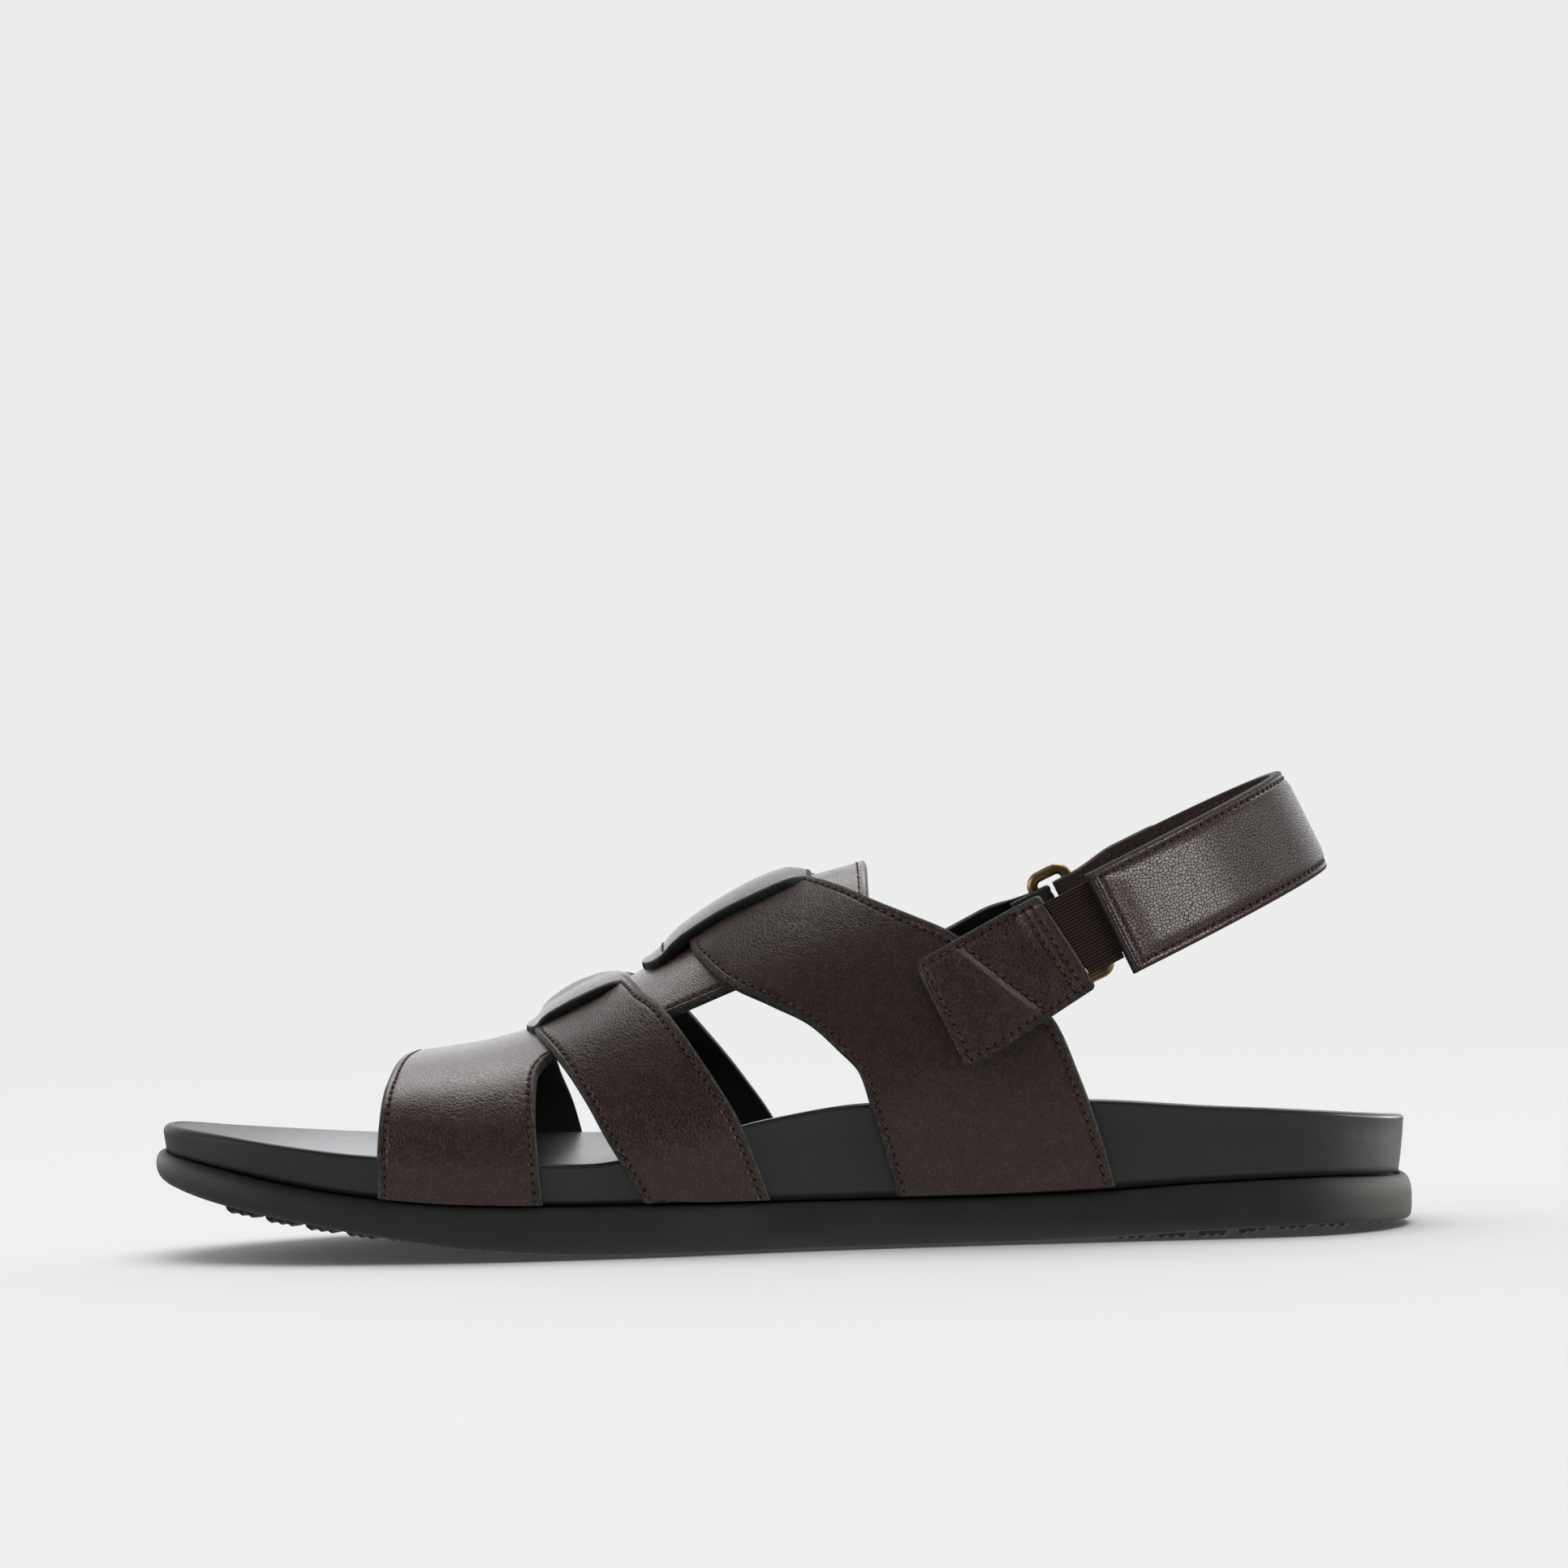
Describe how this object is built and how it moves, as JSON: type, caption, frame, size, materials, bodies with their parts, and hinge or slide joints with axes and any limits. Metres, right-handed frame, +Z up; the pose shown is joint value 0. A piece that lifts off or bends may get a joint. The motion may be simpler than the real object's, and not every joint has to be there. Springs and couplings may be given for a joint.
{
  "type": "sandal",
  "caption": "Right-foot sandal with woven leather straps, a contoured footbed on a lugged rubber outsole, and a heel strap with elastic on one side and a brass ring on the other.",
  "frame": {"origin": "centre of the bounding box in plan, on the floor that the sole stands on", "axes": "+X from the toe to the heel, -Y to the inner (medial) side, +Z up"},
  "size_m": [0.29, 0.1061, 0.1056],
  "materials": {
    "leather": "pebble grain, satin",
    "strap_leather": "coarse pebble grain, satin",
    "footbed_wrap": "fine grain, satin",
    "rubber": "matte",
    "elastic": "woven, matte",
    "pad": "hook and loop, matte",
    "brass": "antique, satin"
  },
  "bodies": {
    "root": {"outsole": "rubber", "footbed": "footbed_wrap", "upper": "leather", "tab_medial": "leather", "tab_lateral": "leather", "heel_strap": "strap_leather", "elastic_gore": "elastic", "hook_pad": "pad", "loop_pad": "pad", "ring": "brass"}
  },
  "joints": []
}
